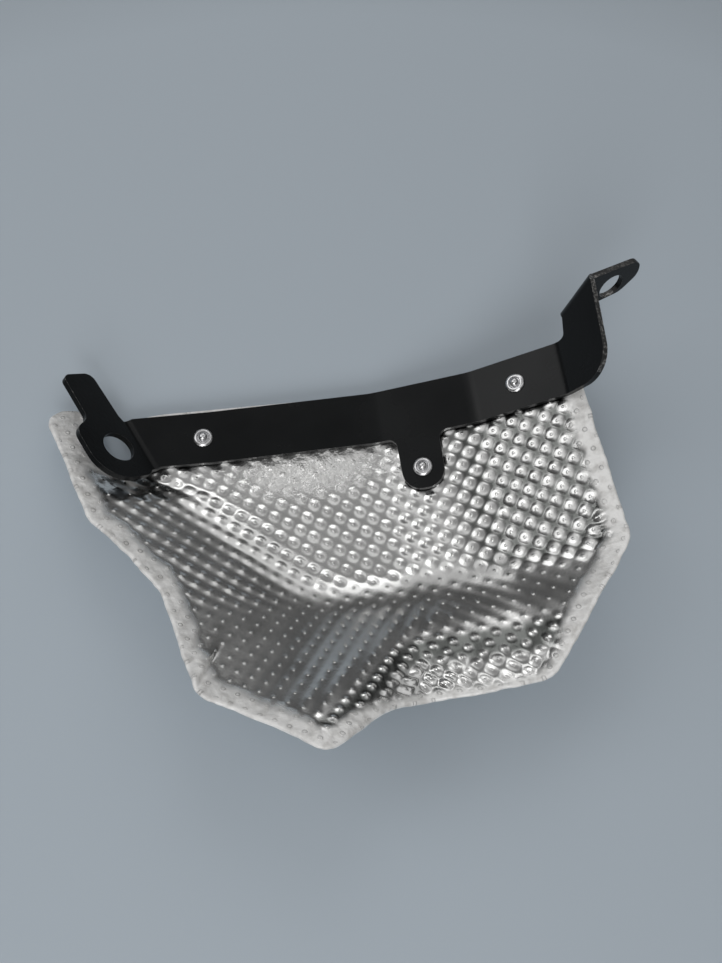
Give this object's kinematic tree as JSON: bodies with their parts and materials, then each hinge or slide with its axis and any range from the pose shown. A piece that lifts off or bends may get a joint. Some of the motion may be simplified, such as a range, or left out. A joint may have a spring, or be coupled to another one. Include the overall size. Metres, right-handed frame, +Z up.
{
  "type": "heat shield",
  "caption": "Scoop-shaped embossed aluminium heat shield with a hemmed rim, riveted to a bent black steel bracket that bolts on by an eyelet and a tab.",
  "frame": {"origin": "centre of the lug's eyelet, halfway through the strip", "axes": "+X along the bracket's strip from the eyelet towards the tab, +Z up from the back wall as the shield lies on it, +Y from the front wall towards the strip"},
  "size_m": [0.1962, 0.1365, 0.0468],
  "materials": {
    "embossed_aluminium": "satin",
    "black_coated_steel": "satin black coating",
    "rivet_metal": "satin"
  },
  "bodies": {
    "root": {"shield_panel": "embossed_aluminium", "mounting_bracket": "black_coated_steel", "rivets": "rivet_metal"}
  },
  "joints": []
}
